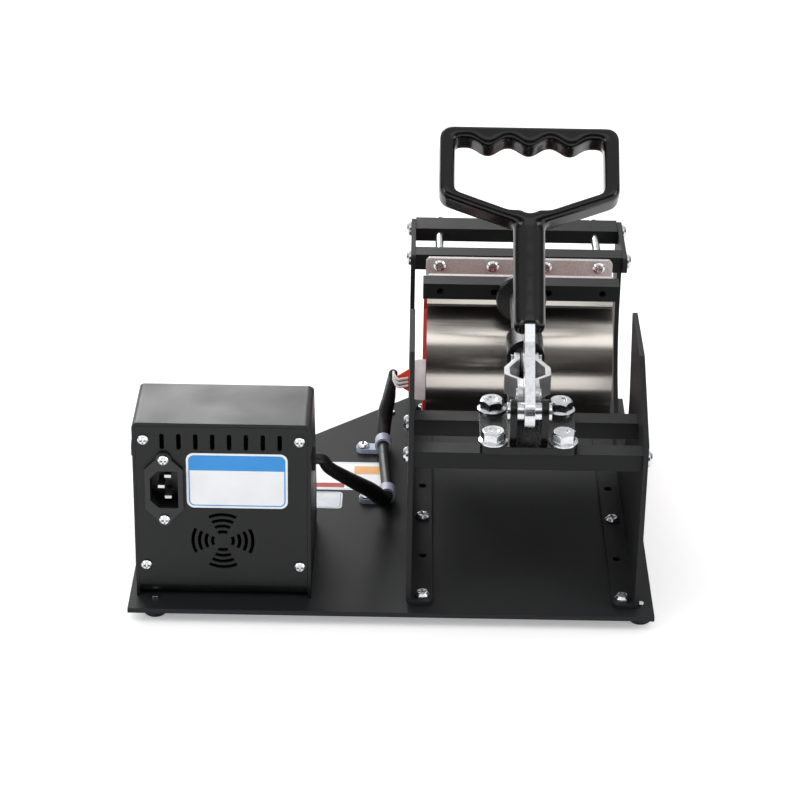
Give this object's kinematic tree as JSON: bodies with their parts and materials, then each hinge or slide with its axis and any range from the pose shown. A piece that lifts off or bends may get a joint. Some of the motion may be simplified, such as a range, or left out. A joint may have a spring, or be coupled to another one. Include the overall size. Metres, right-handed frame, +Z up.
{
  "type": "manual mug heat press",
  "caption": "Lever toggle clamp that closes a heated steel band round a mug, on a flat base plate with a slant-fronted control box wired to the heater.",
  "frame": {"origin": "on the table, under the middle of the base plate", "axes": "+Z up, +Y towards the control panel's side, +X towards the press; the power inlet faces -Y"},
  "size_m": [0.316, 0.291, 0.2653],
  "materials": {
    "powder_coat_charcoal": "sand-textured matt",
    "black_casting": "gloss",
    "bright_zinc": "bright zinc plate",
    "polished_steel": "polished",
    "brushed_stainless": "brushed along its length",
    "strip_steel": "satin",
    "silicone_red": "matt",
    "silicone_pale": "matt",
    "black_rubber": "matt",
    "black_gloss_plastic": "gloss",
    "black_plastic": "satin",
    "grey_plastic": "satin",
    "cable_jacket": "matt",
    "wire_insulation": "matt",
    "red_plastic": "gloss",
    "white_plastic": "satin",
    "smoked_window": "gloss",
    "circuit_board": "satin",
    "transformer_iron": "matt"
  },
  "bodies": {
    "frame": {"base_plate": "powder_coat_charcoal", "rubber_feet": "black_rubber", "foot_screws": "bright_zinc", "side_plate_left": "powder_coat_charcoal", "side_plate_right": "powder_coat_charcoal", "side_plate_screws": "bright_zinc", "cross_bar_near": "powder_coat_charcoal", "cross_bar_far": "powder_coat_charcoal", "cross_bar_screws": "bright_zinc", "adjuster_bar": "powder_coat_charcoal", "fixed_band_bar": "powder_coat_charcoal", "adjuster_screws": "bright_zinc", "clamp_base": "black_casting", "clamp_bolts": "bright_zinc", "lever_pivot_pin": "bright_zinc", "pivot_spacers": "bright_zinc", "fixed_band_strip": "strip_steel", "fixed_strip_screws": "bright_zinc", "band_jacket": "brushed_stainless", "heater_mat": "silicone_red", "terminal_tab": "silicone_pale", "heater_wires": "wire_insulation", "heater_cable": "cable_jacket", "cable_clips": "grey_plastic", "clip_screws": "bright_zinc", "cable_grommet": "black_rubber", "box_shell": "powder_coat_charcoal", "box_rear_panel": "powder_coat_charcoal", "panel_screws": "bright_zinc", "inlet_body": "black_plastic", "inlet_pins": "polished_steel", "inlet_screws": "bright_zinc", "fuse_holder": "black_plastic", "fuse_cap": "black_plastic", "rocker_bezel": "black_plastic", "controller_bezel": "black_plastic", "display_window": "smoked_window", "control_board": "circuit_board", "power_board": "circuit_board", "transformer": "transformer_iron"},
    "lever": {"lever_arm": "bright_zinc", "lever_handle": "black_gloss_plastic", "link_pin": "bright_zinc"},
    "links": {"toggle_link_left": "polished_steel", "toggle_link_right": "polished_steel", "link_rivets": "bright_zinc"},
    "plunger": {"plunger": "polished_steel", "pressure_disc": "black_casting", "moving_band_bar": "powder_coat_charcoal", "moving_band_strip": "strip_steel", "moving_strip_screws": "bright_zinc"},
    "rocker": {"rocker_switch": "red_plastic"},
    "button_power": {"power_button": "white_plastic"},
    "button_plus": {"plus_button": "white_plastic"},
    "button_minus": {"minus_button": "white_plastic"}
  },
  "joints": [
    {"name": "lever_pivot", "type": "hinge", "parent": "frame", "child": "lever", "pos_m": [0.079, -0.126, 0.1373], "axis": [1, 0, 0], "range_deg": [0, 100]},
    {"name": "link_pivot", "type": "hinge", "parent": "lever", "child": "links", "pos_m": [0.079, -0.10802, 0.1381], "axis": [1, 0, 0], "range_deg": [-123.2, 0]},
    {"name": "plunger_slide", "type": "slide", "parent": "frame", "child": "plunger", "axis": [0, -1, 0], "range_m": [0, 0.0247], "deforming": ["band_jacket", "heater_mat", "terminal_tab", "heater_wires"]},
    {"name": "rocker_pivot", "type": "hinge", "parent": "frame", "child": "rocker", "pos_m": [-0.14925, -0.095, 0.0615], "axis": [0, 1, 0], "range_deg": [0, 14]},
    {"name": "power_press", "type": "slide", "parent": "frame", "child": "button_power", "axis": [0, -0.9065, -0.4223], "range_m": [0, 0.0012], "stiffness_N_per_m": 400},
    {"name": "plus_press", "type": "slide", "parent": "frame", "child": "button_plus", "axis": [0, -0.9065, -0.4223], "range_m": [0, 0.0012], "stiffness_N_per_m": 400},
    {"name": "minus_press", "type": "slide", "parent": "frame", "child": "button_minus", "axis": [0, -0.9065, -0.4223], "range_m": [0, 0.0012], "stiffness_N_per_m": 400}
  ],
  "couplings": [
    {"joint": "link_pivot", "follows": "lever_pivot", "ratio": -1.2304},
    {"joint": "plunger_slide", "follows": "lever_pivot", "m_per_rad": 0.01406}
  ]
}
